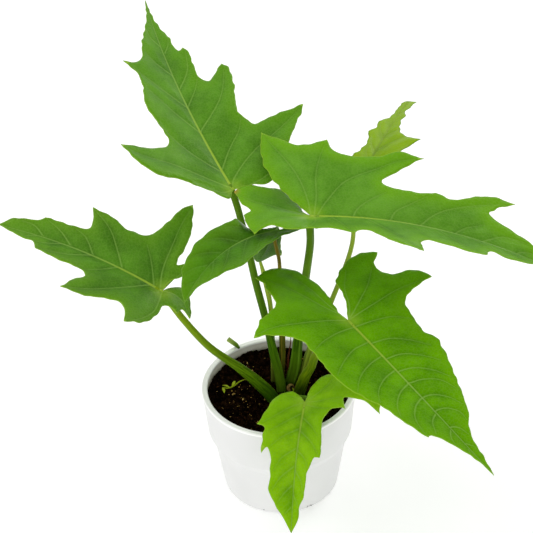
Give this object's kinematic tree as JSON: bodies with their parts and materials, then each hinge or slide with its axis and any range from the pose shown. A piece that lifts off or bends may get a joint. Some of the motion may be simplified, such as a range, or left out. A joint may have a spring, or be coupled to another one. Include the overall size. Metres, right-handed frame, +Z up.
{
  "type": "potted philodendron plant",
  "caption": "Young philodendron with arrow-shaped, lobed and toothed leaves on long stalks, rooted in a white tapered plastic nursery pot filled with dark potting mix.",
  "frame": {"origin": "centre of the pot's underside, on the surface that it stands on", "axes": "+Z up, +Y towards the back of the plant, -Y towards the viewer, +X to the viewer's right"},
  "size_m": [0.4036, 0.4431, 0.3069],
  "materials": {
    "pot_plastic": "plain white moulded plastic, satin, with faint scuffs near the base",
    "potting_mix": "moist dark peat and bark crumbs with tan and yellowish perlite grains, matt",
    "crown_bud": "rough brownish bud and stem base",
    "blade_mature": "mature mid-green blade, waxy satin sheen, pale yellow-green veins",
    "blade_bright": "younger yellow-green blade, satin sheen, pale veins",
    "blade_dark": "dark green drooping blade, satin sheen",
    "blade_lime": "new lime-green blade, thin and slightly translucent",
    "stalk_green": "smooth green leaf stalk, faintly ridged, lighter at the joint",
    "stalk_olive": "olive-brown thin leaf stalk, reddish at the top",
    "shoot_skin": "slender yellow-green shoot, brownish lower down",
    "dry_scale": "dry papery red-brown scale",
    "sprig_green": "thin fleshy yellow-green seedling"
  },
  "bodies": {
    "root": {"pot": "pot_plastic", "soil": "potting_mix", "crown": "crown_bud", "leaf_back_left": "blade_mature", "leaf_right": "blade_mature", "leaf_left": "blade_mature", "leaf_front_right": "blade_bright", "leaf_front": "blade_bright", "leaf_centre": "blade_dark", "leaf_young": "blade_lime", "petiole_back_left": "stalk_green", "petiole_right": "stalk_green", "petiole_left": "stalk_green", "petiole_front_right": "stalk_green", "petiole_front": "stalk_green", "petiole_centre": "stalk_olive", "petiole_young": "shoot_skin", "shoot": "shoot_skin", "cataphyll": "dry_scale", "stalk_end": "stalk_green", "sprig": "sprig_green"}
  },
  "joints": []
}
